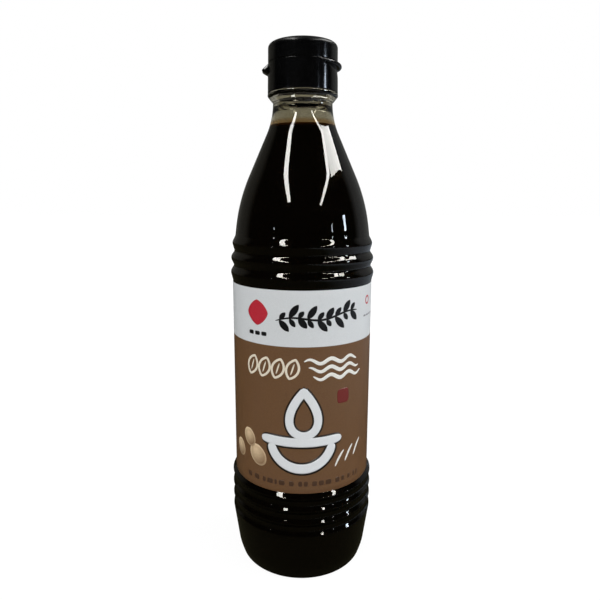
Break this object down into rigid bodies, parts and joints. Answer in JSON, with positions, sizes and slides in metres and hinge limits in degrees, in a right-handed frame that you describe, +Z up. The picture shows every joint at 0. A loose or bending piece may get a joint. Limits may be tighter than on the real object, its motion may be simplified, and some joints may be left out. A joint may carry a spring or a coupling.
{
  "type": "soy sauce bottle",
  "caption": "Tall round clear bottle with ribbed bands, a long tapered shoulder, a wrap label and a shut flip-top cap, filled with dark soy sauce.",
  "frame": {"origin": "on the bottle's axis, at the level of the ring it stands on", "axes": "+Z up along the bottle's axis, -Y towards the front of the label, -X towards the cap's hinge, +X towards the lid's lip"},
  "size_m": [0.076, 0.076, 0.2683],
  "materials": {
    "clear_plastic": "clear blown plastic, glossy",
    "soy_sauce": "dark brown liquid, near black in depth",
    "label_film": "satin printed film, white band over a brown field",
    "cap_plastic": "glossy black moulded plastic"
  },
  "bodies": {
    "root": {"bottle": "clear_plastic", "soy_sauce": "soy_sauce", "label": "label_film", "cap_base": "cap_plastic", "cap_lid": "cap_plastic"}
  },
  "joints": []
}
